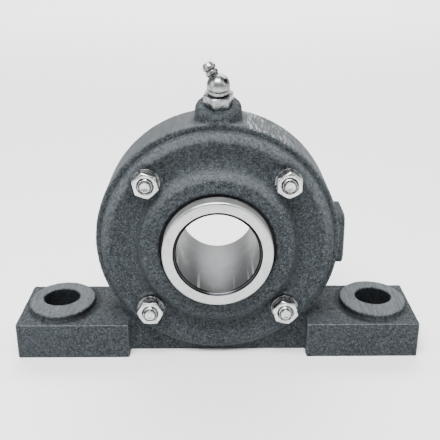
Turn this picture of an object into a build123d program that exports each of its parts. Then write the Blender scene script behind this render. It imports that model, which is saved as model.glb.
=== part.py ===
from build123d import *
import os
from math import cos, radians, sin, sqrt

# Foot-mounted pillow block with a self-aligning ball bearing, in millimetres.
# Origin: middle of the base, under the shaft. +X along the feet, +Y along the shaft to the rear, +Z up.

# Housing
shaft_height = 53.0
foot_length = 179.0
foot_corner_radius = 0.8
foot_depth = 38.7
foot_thickness = 16.2
foot_inner_x = 39.7
foot_hole_place = (72.8, 3.3)
foot_hole_radius = 8.4
boss_size = (30.0, 35.0)
boss_place = (72.2, 1.5)
boss_height = 2.7
drum_radius = 52.5
body_depth = 24.7
seat_radius = 36.0
rear_rim_reach = 15.8
rear_rim_bore_radius = 50.6
pad_height = 23.0
pad_reach = 55.0
pad_depth = 21.0

# Bearing, a standard size: 35 mm bore, 72 mm outside diameter
bore_radius = 17.5
inner_ring_length = 52.0
inner_ring_radius = 23.43
bore_chamfer = 1.3
outer_ring_length = 17.0
ball_radius = 8.731 / 2
ball_count = 16
pitch_radius = 26.5
row_offset = 4.0
groove_radius = 0.52 * 2 * ball_radius
race_clearance = 0.034
cage_radii = (24.3, 29.5)
cage_length = 14.8
slot_width = 8.5
slot_length = 7.0

# Covers, with distances measured out from the middle of the bearing
cover_radius = 50.2
gasket_thickness = 0.3
cover_edge_radius = 3.7
rim_reach = 17.3
rim_crest_radius = 46.3
dish_radius = 36.6
dish_reach = 14.0
hub_radius = 32.8
hub_reach = 20.5
cover_bore_radius = 24.45
spigot_reach = 8.55
spigot_bore_radius = 31.2
cavity_reach = 10.5
felt_groove = (12.7, 17.9)
felt_groove_radius = 28.9

# Cover fasteners, M6
bolt_spread = 29.4
bolt_rise = 29.1
bolt_radius = 3.0
bolt_hole_radius = 3.3
spot_face_radius = 7.5
seat_reach = 16.2
bolt_pad_radius = 6.8
washer_thickness = 1.6
washer_radius = 5.9
nut_width = 10.0
nut_height = 5.0
head_height = 4.0
bolt_tip_reach = 24.6
nut_turns = {1: 17.0, 2: 30.0, 3: 0.0, 4: 14.0}

# Grease lug on the top of the drum, leaning towards the front, and its nipple
lug_lean = 20.0
lug_radius = 9.6
lug_edge_radius = 1.8
lug_depth = 12.0
lug_top = (0.5, -3.7, 111.6)
shank_radius = 4.95
shank_length = 8.0
nipple_hex_width = 11.0
nipple_hex_height = 5.6
elbow_reach = 8.9
elbow_radius = 4.85
stem_lean = 42.0
stem_turn = 46.0
stem_reach = 10.2
valve_ball_radius = 1.2
valve_ball_reach = 8.45

shaft_axis = Axis((0, 0, shaft_height), (0, 1, 0))
shaft_section = Plane.XY.offset(shaft_height)
body_face = body_depth / 2
cover_face = body_face + gasket_thickness
bolt_places = [(-bolt_spread, bolt_rise), (bolt_spread, bolt_rise),
               (-bolt_spread, -bolt_rise), (bolt_spread, -bolt_rise)]
lug_direction = Vector(0, -sin(radians(lug_lean)), cos(radians(lug_lean)))
elbow_centre = Vector(*lug_top) + lug_direction * elbow_reach
lug_rear = Vector(1, 0, 0).cross(lug_direction) * -1
stem_sideways = Vector(-1, 0, 0) * cos(radians(stem_turn)) + lug_rear * sin(radians(stem_turn))
stem_direction = lug_direction * cos(radians(stem_lean)) + stem_sideways * sin(radians(stem_lean))

os.makedirs("parts", exist_ok=True)


def save(piece, name):
    """Label a finished piece and write it under its node's name."""
    piece.part.label = name
    export_step(piece.part, f"parts/{name}.step")


def front_plane(x, y, z, turn=0.0):
    """A plane at (x, y, z) that faces the front, turned about its normal."""
    across = Vector(cos(radians(turn)), 0, sin(radians(turn)))
    return Plane(origin=(x, y, z), x_dir=across, z_dir=(0, -1, 0))


def section_plane(origin, direction):
    """A plane through an axis: its Y runs along the axis, its X is the radius."""
    across = Vector(1, 0, 0)
    across = (across - direction * across.dot(direction)).normalized()
    return Plane(origin=origin, x_dir=across, z_dir=across.cross(direction))


# --- Housing ---------------------------------------------------------------------------

with BuildPart() as housing:
    # drum, with a rim that stands round the rear cover, and the web that joins it to the base
    with BuildSketch(Plane.XZ.offset(-rear_rim_reach)):
        with Locations((0, shaft_height)):
            Circle(drum_radius)
    extrude(amount=rear_rim_reach + body_face)
    with BuildSketch(Plane.XZ.offset(-rear_rim_reach)):
        with Locations((0, shaft_height)):
            Circle(rear_rim_bore_radius)
    extrude(amount=rear_rim_reach - body_face, mode=Mode.SUBTRACT)
    with BuildSketch(Plane.XZ.offset(-body_face)):
        with Locations((0, shaft_height / 2)):
            Rectangle(2 * foot_inner_x - 5, shaft_height)
    extrude(amount=body_depth)

    # feet
    foot_middle_x = (foot_inner_x + foot_length / 2) / 2
    foot_run = foot_length / 2 - foot_inner_x
    with BuildSketch():
        with Locations((-foot_middle_x, 0), (foot_middle_x, 0)):
            RectangleRounded(foot_run, foot_depth, foot_corner_radius)
    extrude(amount=foot_thickness)
    with BuildSketch():
        Rectangle(2 * foot_inner_x + 4, body_depth)
    extrude(amount=foot_thickness)

    # pad on the right-hand side of the drum
    with BuildSketch(Plane.YZ.offset(pad_reach)):
        with Locations((0, shaft_height)):
            RectangleRounded(pad_depth, pad_height, 4)
    extrude(amount=-8)

    # raised bosses round the foot holes
    with BuildSketch(Plane.XY.offset(foot_thickness)):
        with Locations((-boss_place[0], boss_place[1]), boss_place):
            Ellipse(boss_size[0] / 2, boss_size[1] / 2)
    extrude(amount=boss_height, taper=5)

    # lug for the grease nipple
    lug_plane = Plane(origin=lug_top, x_dir=(1, 0, 0), z_dir=lug_direction)
    lug_axis = Axis(lug_top, lug_direction)
    lug_round = lug_edge_radius * (1 - cos(radians(45)))
    with BuildSketch(section_plane(lug_top, lug_direction)):
        with BuildLine():
            Polyline((lug_radius - lug_edge_radius, 0), (0, 0), (0, -lug_depth),
                     (lug_radius + 1, -lug_depth), (lug_radius, -lug_edge_radius))
            ThreePointArc((lug_radius, -lug_edge_radius), (lug_radius - lug_round, -lug_round),
                          (lug_radius - lug_edge_radius, 0))
        make_face()
    revolve(axis=lug_axis)

    # seat of the bearing and the covers
    with BuildSketch(Plane.XZ.offset(-body_face)):
        with Locations((0, shaft_height)):
            Circle(seat_radius)
    extrude(amount=body_depth, mode=Mode.SUBTRACT)

    # bolt holes through the drum
    with BuildSketch(Plane.XZ.offset(-body_face)):
        with Locations([(x, shaft_height + z) for x, z in bolt_places]):
            Circle(bolt_hole_radius)
    extrude(amount=body_depth, mode=Mode.SUBTRACT)

    # foot holes
    with BuildSketch():
        with Locations((-foot_hole_place[0], foot_hole_place[1]), foot_hole_place):
            Circle(foot_hole_radius)
    extrude(amount=foot_thickness + boss_height, mode=Mode.SUBTRACT)

    # nipple hole, the passage below it, and the grease channel along the top of the seat
    with BuildSketch(lug_plane):
        Circle(shank_radius + 0.05)
    extrude(amount=-shank_length - 1.5, mode=Mode.SUBTRACT)
    with BuildSketch(lug_plane):
        Circle(2)
    extrude(amount=-24, mode=Mode.SUBTRACT)
    with BuildSketch(Plane.XZ.offset(-body_face)):
        with Locations((0, shaft_height + seat_radius)):
            Rectangle(5, 4)
    extrude(amount=body_depth, mode=Mode.SUBTRACT)

save(housing, "housing")

# --- Covers, gaskets and felt seals ----------------------------------------------------

with BuildPart() as front_cover:
    edge_start = rim_reach - cover_edge_radius
    with BuildSketch(shaft_section):
        with BuildLine():
            Polyline((spigot_bore_radius, -spigot_reach), (seat_radius - 0.03, -spigot_reach),
                     (seat_radius - 0.03, -cover_face), (cover_radius, -cover_face),
                     (cover_radius, -edge_start))
            RadiusArc((cover_radius, -edge_start),
                      (cover_radius - cover_edge_radius, -rim_reach), cover_edge_radius)
            Polyline((cover_radius - cover_edge_radius, -rim_reach), (rim_crest_radius, -rim_reach),
                     (dish_radius, -dish_reach), (hub_radius, -hub_reach),
                     (cover_bore_radius, -hub_reach), (cover_bore_radius, -felt_groove[1]),
                     (felt_groove_radius, -felt_groove[1]), (felt_groove_radius, -felt_groove[0]),
                     (cover_bore_radius, -felt_groove[0]), (cover_bore_radius, -cavity_reach),
                     (spigot_bore_radius, -cavity_reach), (spigot_bore_radius, -spigot_reach))
        make_face()
    revolve(axis=shaft_axis)

    # pads, spot faces and holes of the four bolts
    with BuildSketch(Plane.XZ.offset(cover_face + 0.5)):
        with Locations([(x, shaft_height + z) for x, z in bolt_places]):
            Circle(bolt_pad_radius)
    extrude(amount=seat_reach - cover_face - 0.5)
    with BuildSketch(Plane.XZ.offset(seat_reach)):
        with Locations([(x, shaft_height + z) for x, z in bolt_places]):
            Circle(spot_face_radius)
    extrude(amount=hub_reach, mode=Mode.SUBTRACT)
    with BuildSketch(Plane.XZ.offset(spigot_reach)):
        with Locations([(x, shaft_height + z) for x, z in bolt_places]):
            Circle(bolt_hole_radius)
    extrude(amount=hub_reach, mode=Mode.SUBTRACT)

    # grease notch through the top of the spigot
    with BuildSketch(Plane.XZ.offset(spigot_reach)):
        with Locations((0, shaft_height + seat_radius - 3)):
            Rectangle(5, 8)
    extrude(amount=cavity_reach - spigot_reach, mode=Mode.SUBTRACT)

save(front_cover, "front_cover")

with BuildPart() as rear_cover:
    add(front_cover.part)
    mirror(about=Plane.XZ, mode=Mode.REPLACE)

save(rear_cover, "rear_cover")

with BuildPart() as front_gasket:
    with BuildSketch(Plane.XZ.offset(body_face)):
        with Locations((0, shaft_height)):
            Circle(cover_radius - 0.1)
            Circle(seat_radius, mode=Mode.SUBTRACT)
        with Locations([(x, shaft_height + z) for x, z in bolt_places]):
            Circle(bolt_hole_radius, mode=Mode.SUBTRACT)
    extrude(amount=gasket_thickness)

save(front_gasket, "front_gasket")

with BuildPart() as rear_gasket:
    add(front_gasket.part)
    mirror(about=Plane.XZ, mode=Mode.REPLACE)

save(rear_gasket, "rear_gasket")

with BuildPart() as front_felt_seal:
    felt_inside = inner_ring_radius + 0.05
    with BuildSketch(shaft_section):
        with Locations(((felt_inside + felt_groove_radius) / 2, -sum(felt_groove) / 2)):
            Rectangle(felt_groove_radius - felt_inside - 0.1, felt_groove[1] - felt_groove[0] - 0.1)
    revolve(axis=shaft_axis)

save(front_felt_seal, "front_felt_seal")

with BuildPart() as rear_felt_seal:
    add(front_felt_seal.part)
    mirror(about=Plane.XZ, mode=Mode.REPLACE)

save(rear_felt_seal, "rear_felt_seal")

# --- Bearing ---------------------------------------------------------------------------

race_radius = sqrt(pitch_radius ** 2 + row_offset ** 2) + ball_radius + race_clearance
groove_centre = pitch_radius - ball_radius - race_clearance + groove_radius

with BuildPart() as outer_ring:
    with BuildSketch(shaft_section):
        with Locations(((seat_radius + 24) / 2, 0)):
            Rectangle(seat_radius - 0.01 - 24, outer_ring_length)
        Circle(race_radius, mode=Mode.SUBTRACT)
    revolve(axis=shaft_axis)
    chamfer(outer_ring.edges().filter_by(GeomType.CIRCLE).group_by(SortBy.RADIUS)[-1], 0.8)

save(outer_ring, "outer_ring")

with BuildPart() as inner_ring:
    with BuildSketch(shaft_section):
        with Locations(((bore_radius + inner_ring_radius) / 2, 0)):
            Rectangle(inner_ring_radius - bore_radius, inner_ring_length)
        with Locations((groove_centre, -row_offset), (groove_centre, row_offset)):
            Circle(groove_radius, mode=Mode.SUBTRACT)
    revolve(axis=shaft_axis)
    ends = inner_ring.faces().filter_by(Axis.Y).sort_by(Axis.Y)
    end_edges = (ends[0].edges() + ends[-1].edges()).sort_by(SortBy.RADIUS)
    chamfer(end_edges[:2], bore_chamfer)
    fillet(end_edges[2:], 0.7)

    # locating slot in the rear end
    with BuildSketch(Plane.XZ.offset(-inner_ring_length / 2)):
        with Locations((0, shaft_height + inner_ring_radius)):
            Rectangle(slot_width, 2 * (inner_ring_radius - bore_radius) + 2)
    extrude(amount=slot_length, mode=Mode.SUBTRACT)

save(inner_ring, "inner_ring")


def ball_row(offset, turn):
    """Centres of one row of balls."""
    angles = [turn + 360 * i / ball_count for i in range(ball_count)]
    return [(pitch_radius * cos(radians(a)), offset, shaft_height + pitch_radius * sin(radians(a)))
            for a in angles]


rows = {"front": ball_row(-row_offset, 4), "rear": ball_row(row_offset, 4 + 180 / ball_count)}

for row_name, centres in rows.items():
    with BuildPart() as balls:
        with Locations(centres):
            Sphere(ball_radius)
    save(balls, f"balls_{row_name}_row")

with BuildPart() as cage:
    with BuildSketch(shaft_section):
        with Locations(((cage_radii[0] + cage_radii[1]) / 2, 0)):
            Rectangle(cage_radii[1] - cage_radii[0], cage_length)
    revolve(axis=shaft_axis)
    for x, y, z in rows["front"] + rows["rear"]:
        outward = Vector(x, 0, z - shaft_height)
        with BuildSketch(Plane(origin=(0, y, shaft_height), x_dir=(0, 1, 0), z_dir=outward)):
            Circle(ball_radius + 0.15)
        extrude(amount=pitch_radius + ball_radius, mode=Mode.SUBTRACT)

save(cage, "cage")

# --- Fasteners -------------------------------------------------------------------------


def hexagon_block(plane, width, height, both_ends=True):
    """A hexagon with its corners turned off, standing on a plane."""
    corner = width / sqrt(3)
    land = width / 2 - 0.15
    drop = (corner + 0.1 - land) * 0.5
    low = drop if both_ends else 0
    low_radius = land if both_ends else corner + 0.1
    with BuildPart() as block:
        with BuildSketch(plane):
            RegularPolygon(corner, 6)
        extrude(amount=height)
        with BuildSketch(section_plane(plane.origin, plane.z_dir)):
            Polygon((0, 0), (low_radius, 0), (corner + 0.1, low), (corner + 0.1, height - drop),
                    (land, height), (0, height), align=None)
        revolve(axis=Axis(plane.origin, plane.z_dir), mode=Mode.INTERSECT)
    return block.part


for number, (x, z) in enumerate(bolt_places, start=1):
    z = z + shaft_height
    nut_seat = seat_reach + washer_thickness
    nut_shape = hexagon_block(front_plane(x, -nut_seat, z, nut_turns[number]), nut_width, nut_height)
    head_plane = Plane(origin=(x, nut_seat, z), x_dir=(1, 0, 0), z_dir=(0, 1, 0))
    head_shape = hexagon_block(head_plane, nut_width, head_height, both_ends=False)

    with BuildPart() as nut:
        add(nut_shape)
        with BuildSketch(front_plane(x, -nut_seat, z)):
            Circle(bolt_radius + 0.03)
        extrude(amount=nut_height, mode=Mode.SUBTRACT)
    save(nut, f"cover_nut_{number}")

    with BuildPart() as bolt:
        with BuildSketch(front_plane(x, nut_seat, z)):
            Circle(bolt_radius)
        extrude(amount=nut_seat + bolt_tip_reach)
        chamfer(bolt.faces().sort_by(Axis.Y)[0].edges(), 0.6)
        add(head_shape)
    save(bolt, f"cover_bolt_{number}")

    with BuildPart() as spring_washer:
        with BuildSketch(front_plane(x, -seat_reach, z, 40 + 80 * number)):
            Circle(washer_radius)
            Circle(bolt_radius + 0.1, mode=Mode.SUBTRACT)
            with Locations((washer_radius, 0)):
                Rectangle(2 * washer_radius - 1, 0.7, rotation=8, mode=Mode.SUBTRACT)
        extrude(amount=washer_thickness)
    save(spring_washer, f"nut_washer_{number}")

    with BuildPart() as flat_washer:
        with BuildSketch(front_plane(x, nut_seat, z)):
            Circle(washer_radius)
            Circle(bolt_radius + 0.1, mode=Mode.SUBTRACT)
        extrude(amount=washer_thickness)
    save(flat_washer, f"head_washer_{number}")

# --- Grease nipple ---------------------------------------------------------------------

nipple_hexagon = hexagon_block(lug_plane, nipple_hex_width, nipple_hex_height)
stem_axis = Axis(elbow_centre, stem_direction)
stem_section = section_plane(elbow_centre, stem_direction)

with BuildPart() as grease_nipple:
    add(nipple_hexagon)
    # shank below the hexagon and collar above it
    with BuildSketch(section_plane(lug_top, lug_direction)):
        Polygon((0, -shank_length), (shank_radius - 0.8, -shank_length),
                (shank_radius, -shank_length + 0.8), (shank_radius, 0.5), (0, 0.5), align=None)
        Polygon((0, nipple_hex_height - 0.5), (4.5, nipple_hex_height - 0.5),
                (4.6, nipple_hex_height + 0.6), (elbow_radius, nipple_hex_height + 1.2),
                (elbow_radius, elbow_reach), (0, elbow_reach), align=None)
    revolve(axis=lug_axis)
    with Locations(elbow_centre):
        Sphere(elbow_radius)
    # stem, neck and head
    with BuildSketch(stem_section):
        Polygon((0, 0), (2.9, 0), (2.9, 4.9), (2.45, 5.2), (2.35, 6.5), (2.8, 7.2), (2.8, 8.4),
                (2.1, 9.8), (1.5, stem_reach), (0, stem_reach), align=None)
    revolve(axis=stem_axis)
    # grease way: up the shank, then along the stem, past the valve seat
    with BuildSketch(section_plane(lug_top, lug_direction)):
        Polygon((0, -shank_length), (1.35, -shank_length), (1.35, elbow_reach), (0, elbow_reach),
                align=None)
    revolve(axis=lug_axis, mode=Mode.SUBTRACT)
    with BuildSketch(stem_section):
        Polygon((0, 0), (0.8, 0), (0.8, 2.4), (1.35, 2.4), (1.35, 8.8), (0.7, 9.55), (0.7, 9.9),
                (1.0, stem_reach), (0, stem_reach), align=None)
    revolve(axis=stem_axis, mode=Mode.SUBTRACT)

save(grease_nipple, "grease_nipple")

with BuildPart() as nipple_check_ball:
    with Locations(elbow_centre + stem_direction * valve_ball_reach):
        Sphere(valve_ball_radius)

save(nipple_check_ball, "nipple_check_ball")

with BuildPart() as nipple_spring:
    spring_foot = elbow_centre + stem_direction * 2.7
    with BuildLine() as spring_line:
        Helix(0.8, 4.6, 0.95, center=spring_foot, direction=stem_direction)
    with BuildSketch(Plane(origin=spring_line.line @ 0, z_dir=spring_line.line % 0)):
        Circle(0.15)
    sweep(path=spring_line.line)

save(nipple_spring, "nipple_spring")
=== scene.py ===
from math import cos, hypot, pi, radians, sin

import bmesh
import bpy
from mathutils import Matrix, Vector, noise


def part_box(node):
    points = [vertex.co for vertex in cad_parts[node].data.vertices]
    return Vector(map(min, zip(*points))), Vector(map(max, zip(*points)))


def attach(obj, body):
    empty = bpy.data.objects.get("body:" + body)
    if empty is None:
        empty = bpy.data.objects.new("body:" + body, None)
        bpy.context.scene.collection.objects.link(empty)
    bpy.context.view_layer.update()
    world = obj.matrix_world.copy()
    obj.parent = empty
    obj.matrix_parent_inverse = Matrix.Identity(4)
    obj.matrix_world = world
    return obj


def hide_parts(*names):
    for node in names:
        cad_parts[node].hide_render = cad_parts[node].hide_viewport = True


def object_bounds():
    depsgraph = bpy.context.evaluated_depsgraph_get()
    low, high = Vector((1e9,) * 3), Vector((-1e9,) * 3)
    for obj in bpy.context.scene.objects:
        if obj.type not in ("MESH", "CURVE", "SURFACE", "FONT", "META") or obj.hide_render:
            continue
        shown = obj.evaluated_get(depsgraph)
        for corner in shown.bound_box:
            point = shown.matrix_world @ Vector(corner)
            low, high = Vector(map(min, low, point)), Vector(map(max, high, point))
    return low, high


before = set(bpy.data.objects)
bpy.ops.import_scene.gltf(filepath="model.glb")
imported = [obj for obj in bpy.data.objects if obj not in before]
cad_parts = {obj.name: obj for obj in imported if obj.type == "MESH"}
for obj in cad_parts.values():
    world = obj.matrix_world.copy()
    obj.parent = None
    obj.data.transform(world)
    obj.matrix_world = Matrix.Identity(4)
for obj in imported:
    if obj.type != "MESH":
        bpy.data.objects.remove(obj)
cad_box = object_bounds()
MM = 0.001

# --- Places, taken from the frame (metres) ---------------------------------------------

ring_low, ring_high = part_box("inner_ring")
RING_RADIUS = (ring_high[0] - ring_low[0]) / 2
RING_HALF = (ring_high[1] - ring_low[1]) / 2
SHAFT = Vector((0, 0, (ring_high[2] + ring_low[2]) / 2))
ALONG_SHAFT = Vector((0, 1, 0))
TO_FRONT = Vector((0, -1, 0))
cover_low, cover_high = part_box("front_cover")
COVER_RADIUS = (cover_high[0] - cover_low[0]) / 2
HUB_REACH = -cover_low[1]
SPIGOT_REACH = -cover_high[1]
COVER_FACE = -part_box("front_gasket")[0][1]


def middle(node):
    """Middle of a node's box."""
    low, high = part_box(node)
    return (Vector(low) + Vector(high)) / 2


# --- Sizes that the frame's boxes don't give -------------------------------------------

FOOT_TOP = 16.2 * MM
BOSS_TOP = 18.9 * MM
FOOT_HOLE = (72.8 * MM, 3.3 * MM)
FOOT_HOLE_RADIUS = 8.4 * MM
BOSS_MIDDLE = (72.2 * MM, 1.5 * MM)
BOSS_HALF = (15 * MM, 17.5 * MM)
DRUM_RADIUS = 52.5 * MM
COVER_BORE_RADIUS = 24.45 * MM
LUG_LEAN = radians(20)
LUG_AXIS = Vector((0, -sin(LUG_LEAN), cos(LUG_LEAN)))
LUG_REAR = Vector((0, cos(LUG_LEAN), sin(LUG_LEAN)))
LUG_TOP = Vector((0.5 * MM, -3.7 * MM, 111.6 * MM))
LUG_SEAT_RADIUS = 7.6 * MM
RING_BORE_RADIUS = 17.5 * MM
RING_BORE_CHAMFER = 1.35 * MM
RING_CORNER_RADIUS = 1.1 * MM
RING_SLOT = (8.5 * MM, 14 * MM, 12 * MM)
BOLT_SPREAD = 29.4 * MM
BOLT_RISE = 29.1 * MM
BOLT_SPOTS = [(-1, 1), (1, 1), (-1, -1), (1, -1)]
BOLT_RADIUS = 3 * MM
BOLT_PITCH = 1 * MM
BOLT_HEAD = 4 * MM
THREAD_START = 23.5 * MM
NUT_WIDTH = 10 * MM
NUT_BORE_RADIUS = 2.9 * MM
NUT_TURNS = [radians(17), radians(30), 0, radians(14)]
SEAT_REACH = 16.2 * MM
PAD_RADIUS = 6.8 * MM
POCKET_RADIUS = 7.5 * MM
ELBOW = LUG_TOP + LUG_AXIS * 8.9 * MM
ELBOW_RADIUS = 4.82 * MM
STEM_TURN = radians(46)
STEM_LEAN = radians(42)
STEM_SIDE = Vector((-1, 0, 0)) * cos(STEM_TURN) + LUG_REAR * sin(STEM_TURN)
STEM_AXIS = LUG_AXIS * cos(STEM_LEAN) + STEM_SIDE * sin(STEM_LEAN)
PIT_AXIS = Vector((0.62, -0.62, 0.48)).normalized()


# --- Mesh tools ------------------------------------------------------------------------


def basis(direction):
    """Two unit vectors across a direction; the first is level where it can be."""
    direction = direction.normalized()
    across = Vector((0, 0, 1)).cross(direction)
    if across.length < 0.01:
        across = Vector((1, 0, 0))
    across.normalize()
    return across, direction.cross(across)


def new_object(name, verts, faces):
    """An object in the scene from its points and faces."""
    mesh = bpy.data.meshes.new(name)
    mesh.from_pydata(verts, [], faces)
    mesh.validate()
    thing = bpy.data.objects.new(name, mesh)
    bpy.context.scene.collection.objects.link(thing)
    return thing


def turned(name, origin, direction, outline, steps):
    """A closed solid of revolution. outline(angle) gives its loop of (radius, distance) there."""
    across, up = basis(direction)
    direction = direction.normalized()
    verts = []
    for i in range(steps):
        angle = 2 * pi * i / steps
        radial = across * cos(angle) + up * sin(angle)
        loop = outline(angle)
        verts += [origin + radial * r + direction * t for r, t in loop]
    count = len(loop)
    faces = []
    for i in range(steps):
        here, there = i * count, (i + 1) % steps * count
        for j in range(count):
            k = (j + 1) % count
            faces.append((here + j, there + j, there + k, here + k))
    thing = new_object(name, verts, faces)
    tidy_mesh(thing)
    return thing


def tidy_mesh(thing):
    """Weld doubled points, drop empty faces and turn every face outwards."""
    work = bmesh.new()
    work.from_mesh(thing.data)
    bmesh.ops.remove_doubles(work, verts=work.verts, dist=2e-6)
    bmesh.ops.dissolve_degenerate(work, edges=work.edges, dist=1e-6)
    bmesh.ops.recalc_face_normals(work, faces=work.faces)
    work.to_mesh(thing.data)
    work.free()


def apply_modifiers(thing):
    """Make the shape with its modifiers the object's own mesh."""
    graph = bpy.context.evaluated_depsgraph_get()
    mesh = bpy.data.meshes.new_from_object(thing.evaluated_get(graph), depsgraph=graph)
    thing.modifiers.clear()
    thing.data = mesh


def bevelled(thing, width):
    """Round the sharp edges and shade the rest smooth."""
    bevel = thing.modifiers.new("edge", "BEVEL")
    bevel.width = width
    bevel.segments = 2
    bevel.limit_method = "ANGLE"
    bevel.angle_limit = radians(40)
    apply_modifiers(thing)
    smooth(thing, 40)


def smooth(thing, angle=180):
    """Shade smooth, with sharp edges where faces meet at more than angle degrees."""
    thing.data.polygons.foreach_set("use_smooth", [True] * len(thing.data.polygons))
    if angle < 180:
        thing.data.set_sharp_from_angle(angle=radians(angle))


def combined(thing, operation, *tools):
    """Cut the tools out of a mesh (DIFFERENCE) or add them to it (UNION), and delete them."""
    for tool in tools:
        change = thing.modifiers.new("change", "BOOLEAN")
        change.operation = operation
        change.solver = "EXACT"
        change.object = tool
    apply_modifiers(thing)
    for tool in tools:
        bpy.data.objects.remove(tool)


def block(size, middle_at, turn=(0, 0, 0)):
    """A box to cut with, of a size, round a point and turned."""
    bpy.ops.mesh.primitive_cube_add(size=1)
    made = bpy.context.object
    made.dimensions = size
    made.rotation_euler = turn
    made.location = middle_at
    bpy.context.view_layer.update()
    return made


def in_metres(points):
    """A loop given in millimetres, in metres."""
    return [(a * MM, b * MM) for a, b in points]


def joined(name, *things):
    """Several closed meshes as one object."""
    work = bmesh.new()
    for thing in things:
        work.from_mesh(thing.data)
        bpy.data.objects.remove(thing)
    mesh = bpy.data.meshes.new(name)
    work.to_mesh(mesh)
    work.free()
    whole = bpy.data.objects.new(name, mesh)
    bpy.context.scene.collection.objects.link(whole)
    return whole


def rounded(points, radius, segments=5):
    """An outline with each corner turned by a small arc; radius 0 keeps a corner."""
    loop = []
    count = len(points)
    for i in range(count):
        corner = Vector(points[i][:2])
        r = points[i][2] if len(points[i]) > 2 else radius
        before = Vector(points[i - 1][:2]) - corner
        after = Vector(points[(i + 1) % count][:2]) - corner
        cut = min(r, before.length * 0.48, after.length * 0.48)
        if cut <= 0:
            loop.append(tuple(corner))
            continue
        start = corner + before.normalized() * cut
        end = corner + after.normalized() * cut
        for k in range(segments + 1):
            u = k / segments
            loop.append(tuple(start * (1 - u) ** 2 + corner * 2 * u * (1 - u) + end * u * u))
    return loop


def place(thing, body, slot, material, *nodes):
    """Give a piece its material, its body and the nodes that it stands for."""
    thing.data.materials.clear()
    thing.data.materials.append(material)
    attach(thing, body)
    if nodes:
        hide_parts(*nodes)


# --- Material tools --------------------------------------------------------------------


class Shader:
    """A material's node tree with short calls for the nodes that are used here."""

    def __init__(self, name):
        self.material = bpy.data.materials.new(name)
        self.material.use_nodes = True
        self.tree = self.material.node_tree
        self.bsdf = self.tree.nodes["Principled BSDF"]
        self.place = self.node("ShaderNodeTexCoord").outputs["Object"]

    def node(self, kind, **settings):
        """A new node of a kind, with its settings."""
        made = self.tree.nodes.new(kind)
        for key, value in settings.items():
            setattr(made, key, value)
        return made

    def link(self, source, target):
        """Join a socket to an input, or set the input to a plain value."""
        if isinstance(source, bpy.types.NodeSocket):
            self.tree.links.new(source, target)
        else:
            target.default_value = source

    def noise(self, scale, detail=4, rough=0.55, stretch=(1, 1, 1), turn=(0, 0, 0)):
        """Fractal noise from 0 to 1. scale is in features per metre."""
        mapping = self.node("ShaderNodeMapping")
        mapping.inputs["Scale"].default_value = stretch
        mapping.inputs["Rotation"].default_value = turn
        self.link(self.place, mapping.inputs["Vector"])
        made = self.node("ShaderNodeTexNoise")
        made.inputs["Scale"].default_value = scale
        made.inputs["Detail"].default_value = detail
        made.inputs["Roughness"].default_value = rough
        self.link(mapping.outputs["Vector"], made.inputs["Vector"])
        return made.outputs["Fac"]

    def cells(self, scale):
        """Distance to the nearest of many scattered points."""
        made = self.node("ShaderNodeTexVoronoi")
        made.inputs["Scale"].default_value = scale
        self.link(self.place, made.inputs["Vector"])
        return made.outputs["Distance"]

    def ramp(self, value, low, high, out_low=0.0, out_high=1.0):
        """A value's range from low to high, spread over out_low to out_high."""
        made = self.node("ShaderNodeMapRange")
        self.link(value, made.inputs["Value"])
        for socket, number in zip(("From Min", "From Max", "To Min", "To Max"),
                                  (low, high, out_low, out_high)):
            made.inputs[socket].default_value = number
        return made.outputs["Result"]

    def math(self, operation, a, b=0.0):
        made = self.node("ShaderNodeMath", operation=operation)
        self.link(a, made.inputs[0])
        self.link(b, made.inputs[1])
        return made.outputs["Value"]

    def mix(self, factor, a, b):
        """Mix two colours; each is a socket or an RGB value."""
        made = self.node("ShaderNodeMix", data_type="RGBA")
        self.link(factor, made.inputs["Factor"])
        for colour, socket in ((a, made.inputs[6]), (b, made.inputs[7])):
            self.link(colour if isinstance(colour, bpy.types.NodeSocket) else (*colour, 1), socket)
        return made.outputs[2]

    def attribute(self, name):
        return self.node("ShaderNodeAttribute", attribute_name=name).outputs["Fac"]

    def part(self, index):
        """One of the object coordinates, in metres."""
        made = self.node("ShaderNodeSeparateXYZ")
        self.link(self.place, made.inputs["Vector"])
        return made.outputs[index]

    def bump(self, height, distance, strength=1.0, under=None):
        """Fine relief, on top of the normal given as under."""
        made = self.node("ShaderNodeBump")
        made.inputs["Strength"].default_value = strength
        made.inputs["Distance"].default_value = distance
        self.link(height, made.inputs["Height"])
        if under is not None:
            self.link(under, made.inputs["Normal"])
        return made.outputs["Normal"]

    def finish(self, colour, roughness, normal, metallic=0.0, **fixed):
        """Join the surface's values to the shader, and return the material."""
        self.link(colour, self.bsdf.inputs["Base Color"])
        self.link(roughness, self.bsdf.inputs["Roughness"])
        self.link(normal, self.bsdf.inputs["Normal"])
        self.link(metallic, self.bsdf.inputs["Metallic"])
        for socket, value in fixed.items():
            self.bsdf.inputs[socket.replace("_", " ")].default_value = value
        return self.material


# --- Materials -------------------------------------------------------------------------

IRON_BLACK = (0.003, 0.004, 0.005)
IRON_DARK = (0.005, 0.007, 0.008)
IRON_MID = (0.042, 0.050, 0.056)
IRON_LIGHT = (0.15, 0.167, 0.178)
GROUND_DARK = (0.045, 0.052, 0.057)
GROUND_LIGHT = (0.13, 0.143, 0.15)
RUBBED = (0.22, 0.235, 0.245)
STEEL_DARK = (0.40, 0.405, 0.405)
STEEL_LIGHT = (0.50, 0.505, 0.505)
STEEL_SPECK = (0.10, 0.105, 0.11)
BORE_GREY = (0.17, 0.174, 0.177)
BORE_LINE = (0.62, 0.62, 0.62)
CHAMFER_PAINTED_REFLECTION = (0.010, 0.011, 0.012)
CHAMFER_PAINTED_HIGHLIGHT = (0.20, 0.205, 0.21)
OUTSIDE_GREY = (0.33, 0.337, 0.34)
ZINC_GRIME = (0.07, 0.072, 0.075)
ZINC_PAINTED_SHADE = (0.030, 0.031, 0.033)


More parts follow.
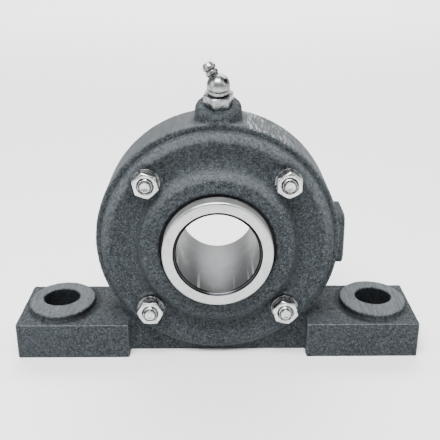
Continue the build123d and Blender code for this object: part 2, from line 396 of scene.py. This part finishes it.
def cast_iron():
    """Coated sand casting. Attributes mark ground, worn and streaked places, painted shade in hollows,
    gaps and under the bosses' edges, and painted highlights on the covers' upper rims and shoulders.
    """
    s = Shader("cast_iron_coat")
    grain = s.noise(1500, 3, 0.7)
    sand = s.noise(620, 4, 0.65)
    patches = s.noise(55, 5, 0.6)
    pits = s.ramp(s.cells(620), 0.10, 0.26)
    mixed = s.math("ADD", s.math("MULTIPLY", grain, 0.6), s.math("MULTIPLY", sand, 0.4))
    colour = s.mix(s.ramp(mixed, 0.41, 0.59), IRON_DARK, IRON_MID)
    specks = s.ramp(s.noise(1500, 2, 0.5), 0.62, 0.74)
    colour = s.mix(s.math("MULTIPLY", specks, 0.40), colour, IRON_LIGHT)
    colour = s.mix(s.ramp(patches, 0.35, 0.7, 0.0, 0.22), colour, IRON_MID)
    colour = s.mix(s.ramp(pits, 0, 1, 0.8, 0.0), colour, IRON_BLACK)
    worn = s.math("MULTIPLY", s.attribute("edge"), s.ramp(sand, 0.35, 0.6, 0.15, 1))
    colour = s.mix(worn, colour, IRON_LIGHT)
    # Painted highlight: the covers' upper rims and shoulders lightened towards IRON_LIGHT, standing in
    # for light from above.
    painted_highlight = s.math("MULTIPLY", s.attribute("painted_highlight"), s.ramp(mixed, 0.34, 0.60, 0.35, 1.0))
    colour = s.mix(painted_highlight, colour, IRON_LIGHT)
    # Painted shade: darker towards IRON_BLACK in concave places, the gap round the ring, the foot holes
    # and under the bosses' edges.
    painted_shade = s.math("MULTIPLY", s.attribute("painted_shade"), s.ramp(sand, 0.3, 0.6, 1.0, 0.75))
    colour = s.mix(painted_shade, colour, IRON_BLACK)

    scratches = s.noise(2600, 3, 0.6, (1, 0.035, 1), (0, 0, 0.05))
    wide = s.noise(500, 3, 0.6, (1, 0.05, 1), (0, 0, 0.05))
    bare = s.mix(s.ramp(scratches, 0.36, 0.64), GROUND_DARK, GROUND_LIGHT)
    bare = s.mix(s.ramp(wide, 0.35, 0.65, 0, 0.4), bare, GROUND_DARK)
    ground = s.math("MULTIPLY", s.attribute("ground"), s.ramp(sand, 0.22, 0.42))
    colour = s.mix(ground, colour, bare)

    rubs = s.noise(1250, 2, 0.5, (1, 0.09, 1), (0, 0, 0.32))
    rubbed = s.math("MULTIPLY", s.attribute("streak"), s.ramp(rubs, 0.52, 0.64))
    colour = s.mix(rubbed, colour, RUBBED)
    streaked = s.bump(s.math("MULTIPLY", scratches, ground), 0.06 * MM)
    coat = s.math("MULTIPLY", s.math("SUBTRACT", 1.0, ground),
                  s.math("ADD", s.math("MULTIPLY", grain, 0.5), sand))
    normal = s.bump(coat, 0.30 * MM, 0.9, streaked)
    return s.finish(colour, s.ramp(ground, 0, 1, 0.68, 0.45), normal, s.math("MULTIPLY", ground, 0.3),
                    Specular_IOR_Level=0.15)


def bearing_steel():
    """Ground steel with fine turning marks, light stains, and on the bore's chamfer a painted dark
    reflection with a thin painted highlight line.
    """
    s = Shader("ground_steel")
    x, y, z = s.part(0), s.part(1), s.part(2)
    z = s.math("SUBTRACT", z, SHAFT.z)
    radius = s.math("SQRT", s.math("ADD", s.math("MULTIPLY", x, x), s.math("MULTIPLY", z, z)))
    rings = s.node("ShaderNodeTexNoise", noise_dimensions="1D")
    s.link(s.math("ADD", s.math("MULTIPLY", radius, 5200), s.math("MULTIPLY", y, 3800)),
           rings.inputs["W"])
    rings.inputs["Scale"].default_value = 1.0
    stains = s.noise(160, 5, 0.62)
    specks = s.ramp(s.noise(420, 2, 0.5), 0.66, 0.72)
    colour = s.mix(s.ramp(stains, 0.35, 0.65), STEEL_DARK, STEEL_LIGHT)
    colour = s.mix(s.math("MULTIPLY", specks, 0.45), colour, STEEL_SPECK)

    bore_edge = (RING_BORE_RADIUS + 0.03 * MM, RING_BORE_RADIUS + 0.07 * MM)
    bore = s.ramp(radius, *bore_edge, 1, 0)
    colour = s.mix(bore, colour, BORE_GREY)
    lines = s.noise(420, 1, 0.4, (1, 0.02, 1))
    lines = s.math("MULTIPLY", s.ramp(lines, 0.64, 0.72), s.ramp(y, -24 * MM, -10 * MM, 1, 0))
    colour = s.mix(s.math("MULTIPLY", lines, bore), colour, BORE_LINE)

    # Painted reflection: the bore's chamfer is near black, standing in for dark surroundings mirrored
    # in it.
    chamfer_end = RING_BORE_RADIUS + RING_BORE_CHAMFER
    chamfer = s.math("MULTIPLY", s.ramp(radius, *bore_edge),
                     s.ramp(radius, chamfer_end, chamfer_end + 0.07 * MM, 1, 0))
    colour = s.mix(chamfer, colour, CHAMFER_PAINTED_REFLECTION)
    # Painted highlight: a thin lighter line along the middle of the chamfer.
    from_line = s.math("ABSOLUTE", s.math("SUBTRACT", radius, RING_BORE_RADIUS + 0.65 * MM))
    colour = s.mix(s.ramp(from_line, 0.05 * MM, 0.11 * MM, 0.3, 0.0), colour, CHAMFER_PAINTED_HIGHLIGHT)

    outside = s.ramp(radius, RING_RADIUS - 0.43 * MM, RING_RADIUS - 0.03 * MM)
    colour = s.mix(outside, colour, OUTSIDE_GREY)
    roughness = s.math("ADD", s.ramp(stains, 0.3, 0.7, 0.24, 0.40), s.math("MULTIPLY", outside, 0.3))
    roughness = s.math("ADD", roughness, s.math("MULTIPLY", bore, 0.15))
    normal = s.bump(rings.outputs["Fac"], 0.01 * MM, 0.6)
    return s.finish(colour, roughness, normal, 1.0)


def zinc(name, low, high):
    """Zinc plate with small dents, a little grime, and painted shade in its bores, grooves and gaps.
    low and high are its greys.
    """
    s = Shader(name)
    cloud = s.noise(500, 4, 0.6)
    grime_and_shade = s.ramp(s.noise(900, 3, 0.6), 0.56, 0.72)
    colour = s.mix(s.ramp(cloud, 0.35, 0.65), low, high)
    colour = s.mix(s.math("MULTIPLY", grime_and_shade, 0.6), colour, ZINC_GRIME)
    # Painted shade from the vertex mark: darker towards black in bores, thread roots, grooves and
    # beside the nuts.
    painted_shade = s.math("MULTIPLY", s.attribute("painted_shade"), s.ramp(cloud, 0.3, 0.7, 1.0, 0.8))
    colour = s.mix(painted_shade, colour, ZINC_PAINTED_SHADE)
    normal = s.bump(s.noise(1500, 2, 0.5), 0.02 * MM, 0.7)
    return s.finish(colour, s.ramp(cloud, 0.3, 0.7, 0.2, 0.36), normal, 1.0)


def plain(name, low, high, rough, scale, depth):
    """A two-tone mottled material for the inner pieces."""
    s = Shader(name)
    mottle = s.noise(scale, 4, 0.6)
    colour = s.mix(s.ramp(mottle, 0.35, 0.65), low, high)
    return s.finish(colour, s.ramp(mottle, 0.3, 0.7, rough * 0.85, min(1, rough * 1.15)),
                    s.bump(mottle, depth))


IRON = cast_iron()
STEEL = bearing_steel()
ZINC = zinc("zinc_plate", (0.40, 0.405, 0.41), (0.68, 0.685, 0.69))
WASHER_ZINC = zinc("washer_plate", (0.07, 0.072, 0.075), (0.24, 0.245, 0.25))
DULL_ZINC = zinc("nipple_plate", (0.14, 0.145, 0.15), (0.36, 0.365, 0.37))
POLYAMIDE = plain("cage_polyamide", (0.55, 0.50, 0.36), (0.66, 0.62, 0.47), 0.5, 700, 0.03 * MM)
FELT = plain("oiled_felt", (0.010, 0.010, 0.009), (0.028, 0.027, 0.025), 0.95, 2200, 0.25 * MM)
PAPER = plain("oiled_paper", (0.012, 0.012, 0.012), (0.03, 0.03, 0.029), 0.85, 1500, 0.04 * MM)


# --- Cast pieces -----------------------------------------------------------------------


def ease(low, high, value):
    """0 below low, 1 above high and smooth between."""
    u = min(1, max(0, (value - low) / (high - low)))
    return u * u * (3 - 2 * u)


def shaft_radius(p):
    """Distance of a point from the shaft's axis."""
    return hypot(p.x, p.z - SHAFT.z)


def on_drum_top(p):
    """Whether a point is on the upper half of the drum's outside."""
    return abs(shaft_radius(p) - DRUM_RADIUS) < 0.6 * MM and p.z > SHAFT.z


def ground_amount(p, normal):
    """Where the casting was ground bare: the boss tops, the base, and thinly the drum's outside."""
    if p.z < 0.6 * MM and normal.z < -0.6:
        return 1.0
    if abs(p.x) > 50 * MM and abs(p.z - BOSS_TOP) < 0.5 * MM and normal.z > 0.8:
        return 0.62
    if on_drum_top(p):
        off_lug = ease(9 * MM, 13 * MM, hypot(p.x, p.y + 3 * MM))
        return 0.42 * off_lug * ease(60 * MM, 80 * MM, p.z)
    return 0.0


def streak_amount(p):
    """Where the drum's outside was rubbed in slanting streaks, right of the lug."""
    if not on_drum_top(p):
        return 0.0
    return ease(10 * MM, 13 * MM, p.x) * (1 - 0.75 * ease(24 * MM, 40 * MM, p.x))


def painted_highlight_amount(p):
    """Painted highlight on a cover: the upper rim and the hub's upper shoulder are lighter, as where
    they face the light from above.
    """
    radius = shaft_radius(p) / MM
    upward = (p.z - SHAFT.z) / (radius * MM)
    rim = ease(45.2, 46.8, radius) * (1 - ease(49.0, 50.0, radius)) * ease(-0.3, 0.6, upward)
    shoulder = ease(30.0, 31.4, radius) * (1 - ease(33.4, 35.4, radius)) * ease(0.35, 0.85, upward)
    return rim * 0.30 + shoulder * 0.34


def on_lug_seat(p):
    """1 on the flat that the nipple's hexagon sits on, and 0 elsewhere."""
    from_top = p - LUG_TOP
    height = from_top.dot(LUG_AXIS)
    off_middle = (from_top - LUG_AXIS * height).length
    return 1.0 if abs(height) < 0.5 * MM and off_middle < LUG_SEAT_RADIUS else 0.0


def painted_shade_amount(p):
    """Painted shade and shadow: the gap round the ring, the foot holes, and under each boss's edge,
    most on the side towards the drum.
    """
    x = abs(p.x)
    if shaft_radius(p) < COVER_BORE_RADIUS + 0.75 * MM:
        return 1.0
    if p.z > BOSS_TOP - 0.5 * MM or x < 50 * MM:
        return 0.0
    if hypot(x - FOOT_HOLE[0], p.y - FOOT_HOLE[1]) < FOOT_HOLE_RADIUS + 0.6 * MM:
        return 1.0
    out = hypot((x - BOSS_MIDDLE[0]) / BOSS_HALF[0], (p.y - BOSS_MIDDLE[1]) / BOSS_HALF[1])
    if p.z < FOOT_TOP - 0.6 * MM or out < 0.9:
        return 0.0
    # The painted shadow under the boss's edge is darker on the side towards the drum.
    drum_side = ease(-0.1, 0.8, (BOSS_MIDDLE[0] - x) / BOSS_HALF[0])
    ragged = 0.04 * noise.noise(p * 900)
    edge = ease(1.05 + 0.07 * drum_side, 1.12 + 0.12 * drum_side, out + ragged)
    return (0.3 + 0.7 * drum_side) * (1 - edge)


def sand_lumps():
    """Middles, radii and heights of the lumps that the sand left beside the drum."""
    noise.seed_set(11)
    lumps = []
    for side in (-1, 1):
        for i in range(9):
            shift = noise.random_vector()
            spot = Vector((side * (50.5 + 3.5 * shift.x), -7.5 + 5.5 * shift.y, 16.5 + shift.z))
            lumps.append((spot * MM, (0.8 + 0.5 * abs(shift.z)) * MM, 0.55 * MM))
    return lumps


def cast_depth(p):
    """How far the sand surface rises and falls at a point."""
    coarse = noise.fractal(p * 140, 1.0, 2.0, 2)
    fine = noise.fractal(p * 620 + Vector((7, 3, 1)), 0.9, 2.1, 3)
    return (coarse + fine) * 0.08 * MM


def roughen(thing, lumps=(), swell=0.0, is_cover=False):
    """Push a fine mesh in and out like a sand casting, and mark its special places."""
    mesh = thing.data
    normals = [v.normal.copy() for v in mesh.vertices]
    names = ("ground", "edge", "painted_shade", "streak", "painted_highlight")
    for name in names:
        mesh.attributes.new(name, "FLOAT", "POINT")
    marks = {name: mesh.attributes[name].data for name in names}
    low, high = Vector(cad_box[0]), Vector(cad_box[1])
    around = [[] for v in mesh.vertices]
    for edge in mesh.edges:
        a, b = edge.vertices
        around[a].append(b)
        around[b].append(a)
    for i, vertex in enumerate(mesh.vertices):
        here = vertex.co
        bend = sum((mesh.vertices[j].co - here).normalized().dot(normals[i]) for j in around[i])
        bend = -bend / max(1, len(around[i]))
        marks["ground"][i].value = ground_amount(here, normals[i])
        marks["streak"][i].value = streak_amount(here)
        # Painted highlight on the cover's upper rim and shoulder.
        marks["painted_highlight"][i].value = painted_highlight_amount(here) if is_cover else 0.0
        marks["edge"][i].value = ease(0.10, 0.34, bend) * 0.8
        # Painted shade in concave places, in the gap round the ring, the foot holes and under the
        # bosses' edges.
        marks["painted_shade"][i].value = max(ease(0.06, 0.30, -bend), painted_shade_amount(here))
    for i, vertex in enumerate(mesh.vertices):
        calm = max(marks["ground"][i].value, on_lug_seat(vertex.co))
        push = cast_depth(vertex.co) * (1 - 0.85 * calm)
        for spot, radius, height in lumps:
            gap = (vertex.co - spot).length
            if gap < radius * 2:
                push += height * (1 - ease(0, radius * 2, gap))
        moved = vertex.co + normals[i] * (push + swell)
        vertex.co = [min(high[axis], max(low[axis], moved[axis])) for axis in range(3)]
    smooth(thing)


def remeshed(thing, rounds):
    """An even mesh over a shape, its corners rounded as a casting's are."""
    remesh = thing.modifiers.new("even", "REMESH")
    remesh.mode = "VOXEL"
    remesh.voxel_size = 0.6 * MM
    remesh.use_smooth_shade = True
    relax = thing.modifiers.new("relax", "SMOOTH")
    relax.factor = 0.5
    relax.iterations = rounds
    apply_modifiers(thing)


def housing():
    """The drum, web and feet, from the frame's own solid."""
    thing = bpy.data.objects.new("housing_casting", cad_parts["housing"].data.copy())
    bpy.context.scene.collection.objects.link(thing)
    tidy_mesh(thing)
    remeshed(thing, 1)
    roughen(thing, sand_lumps(), swell=0.12 * MM)
    place(thing, "housing_unit", "cast_iron_paint", IRON, "housing")


def cover_outline():
    """Half of a cover's section: the inside, then the rim, the dish and the hub, in millimetres."""
    bore, rim = COVER_BORE_RADIUS / MM, COVER_RADIUS / MM
    hub, spigot, face = HUB_REACH / MM, SPIGOT_REACH / MM, COVER_FACE / MM
    inside = [(bore, 10.5), (31.2, 10.5), (31.2, spigot), (35.95, spigot), (35.95, face),
              (rim - 0.2, face)]
    crest = [(rim, face + 0.3), (rim, 13.8), (rim - 0.35, 15.0), (rim - 1.1, 16.2),
             (rim - 2.3, 17.0), (rim - 3.6, 17.25), (rim - 4.8, 17.05), (rim - 6.4, 16.4)]
    dish = [(41.5, 15.35), (39.0, 14.7), (37.2, 14.5), (36.0, 14.8), (35.0, 15.7)]
    shoulder = [(34.2, 17.2), (33.5, 18.7), (32.6, 19.8), (31.3, hub - 0.25), (29.5, hub - 0.05),
                (25.6, hub), (24.75, hub - 0.1), (bore, hub - 0.5)]
    return in_metres(inside + crest + dish + shoulder)


def cover(name, node, side):
    """A dished end cover. side is -1 for the front and 1 for the rear."""
    outline = cover_outline()
    outward = ALONG_SHAFT * side
    thing = turned(name, SHAFT, outward, lambda angle: outline, 288)
    pad_loop = [(0, -3 * MM), (PAD_RADIUS + 0.8 * MM, -3 * MM), (PAD_RADIUS, 0), (0, 0)]
    pocket_loop = [(0, 0), (POCKET_RADIUS, 0), (POCKET_RADIUS + 0.6 * MM, 9 * MM), (0, 9 * MM)]
    hole_radius = BOLT_RADIUS + 0.3 * MM
    hole_loop = [(0, -9 * MM), (hole_radius, -9 * MM), (hole_radius, 2 * MM), (0, 2 * MM)]
    cutters = []
    for sx, sz in BOLT_SPOTS:
        seat = Vector((sx * BOLT_SPREAD, side * SEAT_REACH, SHAFT.z + sz * BOLT_RISE))
        combined(thing, "UNION", turned("pad", seat, outward, lambda angle: pad_loop, 48))
        cutters.append(turned("pocket", seat, outward, lambda angle: pocket_loop, 48))
        cutters.append(turned("hole", seat, outward, lambda angle: hole_loop, 32))
    combined(thing, "DIFFERENCE", *cutters)
    remeshed(thing, 2)
    roughen(thing, is_cover=True)
    place(thing, "housing_unit", "cast_iron_paint", IRON, node)


# --- Bearing ---------------------------------------------------------------------------


def inner_ring():
    """The long inner ring, with its two ball grooves and the slot in its rear end."""
    radius, half = RING_RADIUS / MM, RING_HALF / MM
    bore, corner = RING_BORE_RADIUS / MM, RING_CORNER_RADIUS / MM
    edge = RING_BORE_CHAMFER / MM
    points = [(bore, -half + edge, 0.15), (bore + edge, -half, 0.15), (radius, -half, corner),
              (radius, -7.2, 0), (22.5, -5.9, 0), (22.1, -4, 0), (22.5, -2.1, 0), (radius, -0.8, 0),
              (radius, 0.8, 0), (22.5, 2.1, 0), (22.1, 4, 0), (22.5, 5.9, 0), (radius, 7.2, 0),
              (radius, half, corner), (bore + edge, half, 0.15), (bore, half - edge, 0.15)]
    outline = in_metres(rounded(points, 0.15, 4))
    thing = turned("inner_ring_turned", SHAFT, ALONG_SHAFT, lambda angle: outline, 256)
    combined(thing, "DIFFERENCE", block(RING_SLOT, (0, RING_HALF, SHAFT.z + RING_RADIUS)))
    smooth(thing, 30)
    place(thing, "shaft_ring", "bearing_steel", STEEL, "inner_ring")


# --- Fasteners -------------------------------------------------------------------------


def hexagon_side(angle, width):
    """Distance from the middle of a hexagon to its outline at an angle."""
    return width / 2 / cos(angle % (pi / 3) - pi / 6)


def hexagon_outline(angle, width, height, bore):
    """The section of a nut at one angle: hexagon sides, corners turned off, a countersunk bore."""
    side = hexagon_side(angle, width)
    land = width / 2 - 0.25 * MM
    drop = max(0, side - land) * 0.55
    sink = min(0.7 * MM, bore * 0.4)
    return [(bore, sink), (bore + sink, 0), (land, 0), ((land + side) / 2, drop * 0.42),
            (side, drop), (side, height - drop), ((land + side) / 2, height - drop * 0.42),
            (land, height), (bore + sink, height), (bore, height - sink)]


def mark_painted_shade(thing, amount):
    """Mark how dark the painted shade is at each vertex. amount(vertex position) is from 0 to 1."""
    thing.data.attributes.new("painted_shade", "FLOAT", "POINT")
    marks = thing.data.attributes["painted_shade"].data
    for vertex, mark in zip(thing.data.vertices, marks):
        mark.value = amount(vertex.co)


def off_axis(p, centre):
    """Distance from an axis that runs along the shaft through centre."""
    return hypot(p.x - centre.x, p.z - centre.z)


def nut(number):
    """A cover's nut, with painted shade round the bolt."""
    node = f"cover_nut_{number}"
    low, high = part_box(node)
    centre = middle(node)
    height = high[1] - low[1]
    turn = NUT_TURNS[number - 1]

    def outline(angle):
        return hexagon_outline(angle + turn, NUT_WIDTH, height, NUT_BORE_RADIUS)

    thing = turned(f"nut_{number}", Vector((centre.x, high[1], centre.z)), TO_FRONT, outline, 180)
    bevelled(thing, 0.10 * MM)
    # Painted shade in the bore round the bolt.
    mark_painted_shade(thing, lambda p: 1 - ease(3.15 * MM, 3.45 * MM, off_axis(p, centre)))
    place(thing, "housing_unit", "zinc_steel", ZINC, node)


def thread_rows(start, end, step):
    """Distances along a thread at which its points lie."""
    rows = []
    t = start
    while t < end:
        rows.append(t)
        t += step
    return rows


def thread_radius(angle, t, start, end):
    """The radius of a bolt's thread, which fades out at both of its ends."""
    depth = 0.55 * MM
    phase = (t / BOLT_PITCH - angle / (2 * pi)) % 1
    fade = ease(start, start + BOLT_PITCH * 0.7, t) * (1 - ease(end - BOLT_PITCH * 0.9, end, t))
    return BOLT_RADIUS - depth * fade * (1 - abs(2 * phase - 1)) - depth * 0.15


def bolt(number):
    """A through bolt, from its head behind the rear cover to its tip in front of the nut."""
    node = f"cover_bolt_{number}"
    low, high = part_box(node)
    centre = middle(node)
    length = high[1] - low[1]
    first, last = THREAD_START + 0.5 * MM, length - 0.5 * MM
    rows = thread_rows(first, last, 0.125 * MM)

    def outline(angle):
        side = hexagon_side(angle + number, NUT_WIDTH)
        land = NUT_WIDTH / 2 - 0.25 * MM
        drop = (side - land) * 0.55
        head = [(0, 0), (land, 0), ((land + side) / 2, drop * 0.42), (side, drop), (side, BOLT_HEAD)]
        shank = [(BOLT_RADIUS, BOLT_HEAD), (BOLT_RADIUS, THREAD_START)]
        thread = [(thread_radius(angle, t, first, last), t) for t in rows]
        tip = [(2.5 * MM, length - 0.75 * MM), (2.0 * MM, length), (1.5 * MM, length),
               (1.2 * MM, length - 0.2 * MM), (0, length - 0.3 * MM)]
        return head + shank + thread + tip

    # Painted shade in the roots of the thread.
    def grime_and_shade(p):
        out = off_axis(p, centre)
        if p.y > high[1] - THREAD_START:
            return 0.0
        return (1 - ease(2.55 * MM, 2.8 * MM, out)) * ease(2.2 * MM, 2.4 * MM, out)

    thing = turned(f"bolt_{number}", Vector((centre.x, high[1], centre.z)), TO_FRONT, outline, 96)
    smooth(thing, 35)
    mark_painted_shade(thing, grime_and_shade)
    place(thing, "housing_unit", "zinc_steel", ZINC, node)


def washer(name, node, direction, split=None):
    """A flat washer, or a spring washer with a slanting split at an angle."""
    low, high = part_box(node)
    centre = middle(node)
    thickness = (high[1] - low[1]) / MM
    reach = (high[2] - low[2]) / 2 / MM
    y = high[1] if direction.y < 0 else low[1]
    points = [(3.12, 0.02), (reach, 0.02), (reach, thickness), (3.12, thickness)]
    outline = in_metres(rounded(points, 0.18, 3))
    thing = turned(name, Vector((centre.x, y, centre.z)), direction, lambda angle: outline, 96)
    if split is not None:
        spot = centre + Vector((cos(split), 0, sin(split))) * 5.4 * MM
        combined(thing, "DIFFERENCE",
                 block((8 * MM, 8 * MM, 0.8 * MM), spot, (radians(12), -split, 0)))
    smooth(thing, 40)
    # Painted shade on the washer next to its nut.
    mark_painted_shade(thing, lambda p: 0.75 * (1 - ease(5.2 * MM, 5.65 * MM, off_axis(p, centre))))
    place(thing, "housing_unit", "zinc_steel", WASHER_ZINC, node)


# --- Grease nipple ---------------------------------------------------------------------


def nipple_painted_shade(p):
    """Painted shade in the grooves of the barrel and the stem, and in the pit of the ball."""
    up_lug = (p - LUG_TOP).dot(LUG_AXIS) / MM
    out = p - ELBOW
    up_stem = out.dot(STEM_AXIS) / MM
    off_stem = (out - STEM_AXIS * out.dot(STEM_AXIS)).length
    grime_and_shade = 0.9 * (1 - ease(0.15, 0.45, abs(up_lug - 5.75)))
    grime_and_shade += 0.5 * (1 - ease(0.2, 0.6, abs(up_lug - 8.1)))
    if off_stem < 3 * MM:
        grime_and_shade += 1 - ease(0.12, 0.35, abs(up_stem - 6.9))
        grime_and_shade += 1 - ease(0.10, 0.35, abs(up_stem - 4.9))
    if out.normalized().dot(PIT_AXIS) > 0.972:
        grime_and_shade = 1.0
    return min(1.0, grime_and_shade)


def grease_nipple():
    """Hexagon with a threaded shank, a barrel that ends in a ball, and the stem with its head."""
    def hexagon_loop(angle):
        return hexagon_outline(angle + radians(50), 11 * MM, 5.6 * MM, 1.4 * MM)

    hexagon = turned("hexagon", LUG_TOP, LUG_AXIS, hexagon_loop, 180)
    bevelled(hexagon, 0.12 * MM)
    shank_loop = rounded([(1.4, -8), (4.1, -8), (4.9, -7.2), (4.9, 0.3), (1.4, 0.3)], 0.1)
    barrel_loop = rounded([(1.4, 5.2), (4.35, 5.2), (4.35, 5.8, 0.2), (4.8, 6.4, 0.3), (4.8, 7.7, 0.3),
                           (4.6, 8.0, 0.2), (4.6, 8.9), (1.4, 8.9)], 0.1)
    stem_loop = rounded([(0.72, 2.5), (2.3, 2.5), (2.3, 4.9), (2.7, 5.1), (2.6, 6.4, 0.2),
                         (2.1, 6.75), (2.1, 7.05), (2.7, 7.3, 0.2), (2.78, 8.3, 0.4),
                         (2.1, 9.8, 0.25), (1.5, 10.2, 0.2), (1.0, 10.2), (0.72, 9.9)], 0.1)
    pieces = [hexagon]
    for loop, origin, axis in ((shank_loop, LUG_TOP, LUG_AXIS), (barrel_loop, LUG_TOP, LUG_AXIS),
                               (stem_loop, ELBOW, STEM_AXIS)):
        outline = in_metres(loop)
        piece = turned("turned", origin, axis, lambda angle: outline, 72)
        smooth(piece, 60)
        pieces.append(piece)
    ball_loop = [(ELBOW_RADIUS * sin(pi * k / 40), -ELBOW_RADIUS * cos(pi * k / 40)) for k in range(41)]
    ball = turned("ball", ELBOW, LUG_AXIS, lambda angle: ball_loop, 72)
    smooth(ball)
    pit_loop = in_metres([(0, 4.2), (0.85, 4.2), (1.05, 5.4), (0, 5.4)])
    combined(ball, "DIFFERENCE", turned("pit", ELBOW, PIT_AXIS, lambda angle: pit_loop, 32))
    thing = joined("nipple_body", *pieces, ball)
    mark_painted_shade(thing, nipple_painted_shade)
    place(thing, "housing_unit", "zinc_steel", DULL_ZINC, "grease_nipple")


# --- Camera, floor and light -----------------------------------------------------------


def camera():
    """The camera, just above the front of the bearing."""
    data = bpy.data.cameras.new("camera")
    data.lens = 60.15
    data.sensor_width = 36
    data.clip_start = 0.01
    eye = bpy.data.objects.new("camera", data)
    eye.location = (-0.0009, -0.3045, 0.1785)
    eye.rotation_euler = (radians(68.5), radians(0.07), radians(-0.41))
    bpy.context.scene.collection.objects.link(eye)
    bpy.context.scene.camera = eye


def area_light(name, location, size, power, target):
    """A soft rectangular lamp that looks at a target."""
    data = bpy.data.lights.new(name, "AREA")
    data.shape = "RECTANGLE"
    data.size, data.size_y = size
    data.energy = power
    lamp = bpy.data.objects.new(name, data)
    lamp.location = location
    aim = Vector(target) - Vector(location)
    lamp.rotation_euler = aim.to_track_quat("-Z", "Y").to_euler()
    bpy.context.scene.collection.objects.link(lamp)


def studio():
    """Soft white light all round, a pale floor and four soft lamps."""
    world = bpy.data.worlds.new("studio")
    world.use_nodes = True
    background = world.node_tree.nodes["Background"]
    background.inputs["Color"].default_value = (1, 1, 1, 1)
    background.inputs["Strength"].default_value = 0.5
    bpy.context.scene.world = world
    bpy.ops.mesh.primitive_plane_add(size=6)
    floor = bpy.context.object
    floor.name = "floor"
    s = Shader("pale_floor")
    s.finish((0.93, 0.93, 0.93, 1), 0.6, s.bump(s.noise(40, 2, 0.5), 0.1 * MM, 0.2))
    floor.data.materials.append(s.material)
    area_light("key_softbox", (-0.08, -0.38, 0.75), (0.5, 0.35), 16, (0, 0, 0.05))
    area_light("left_softbox", (-0.75, -0.35, 0.40), (0.5, 0.6), 3, (0, 0, 0.05))
    area_light("right_softbox", (0.75, -0.25, 0.40), (0.5, 0.6), 2.5, (0, 0, 0.05))
    area_light("floor_softbox", (0, 1.7, 1.5), (3.0, 1.6), 150, (0, 1.9, 0))


# --- Making ----------------------------------------------------------------------------

KEPT_SOLIDS = [
    ("front_gasket", PAPER), ("rear_gasket", PAPER), ("outer_ring", STEEL), ("cage", POLYAMIDE),
    ("balls_front_row", STEEL), ("balls_rear_row", STEEL), ("front_felt_seal", FELT),
    ("rear_felt_seal", FELT), ("nipple_check_ball", STEEL), ("nipple_spring", ZINC)]

camera()
studio()
housing()
cover("front_cover_casting", "front_cover", -1)
cover("rear_cover_casting", "rear_cover", 1)
inner_ring()
for number in range(1, 5):
    nut(number)
    bolt(number)
    washer(f"spring_washer_{number}", f"nut_washer_{number}", TO_FRONT, radians(40 + 80 * number))
    washer(f"flat_washer_{number}", f"head_washer_{number}", ALONG_SHAFT)
grease_nipple()
for node, material in KEPT_SOLIDS:
    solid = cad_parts[node]
    solid.data.materials.clear()
    solid.data.materials.append(material)
